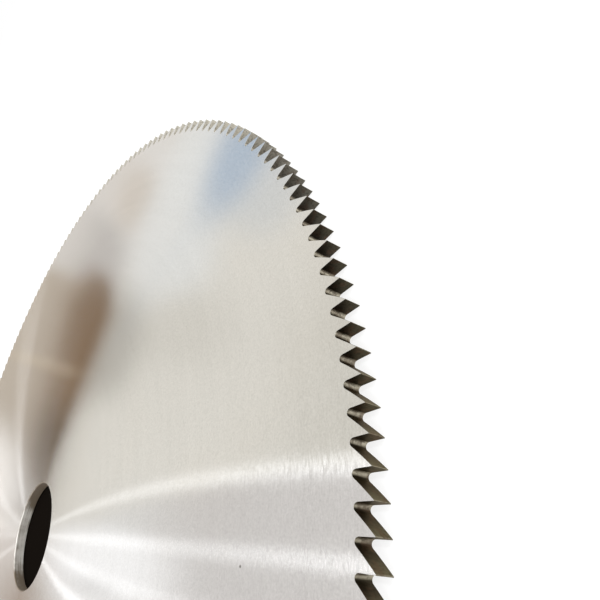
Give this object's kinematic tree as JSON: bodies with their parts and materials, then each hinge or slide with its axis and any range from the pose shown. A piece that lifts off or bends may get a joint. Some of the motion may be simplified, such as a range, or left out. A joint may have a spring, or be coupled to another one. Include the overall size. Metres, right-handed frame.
{
  "type": "circular saw blade",
  "caption": "Solid metal-cutting circular saw blade: a thin flat ground steel disc with fine teeth all round its rim and a plain round arbor bore.",
  "frame": {"origin": "centre of the blade's lower face, on the axis of the arbor bore", "axes": "+Z along the blade's axis, out of its upper side, and +X through the tip of one tooth; seen from above, the teeth cut clockwise"},
  "size_m": [0.25, 0.25, 0.003],
  "materials": {
    "ground_steel": "bright bare high speed steel, both sides finely ground in rings round the bore, teeth and gullets ground and darker"
  },
  "bodies": {
    "root": {"saw_blade": "ground_steel"}
  },
  "joints": []
}
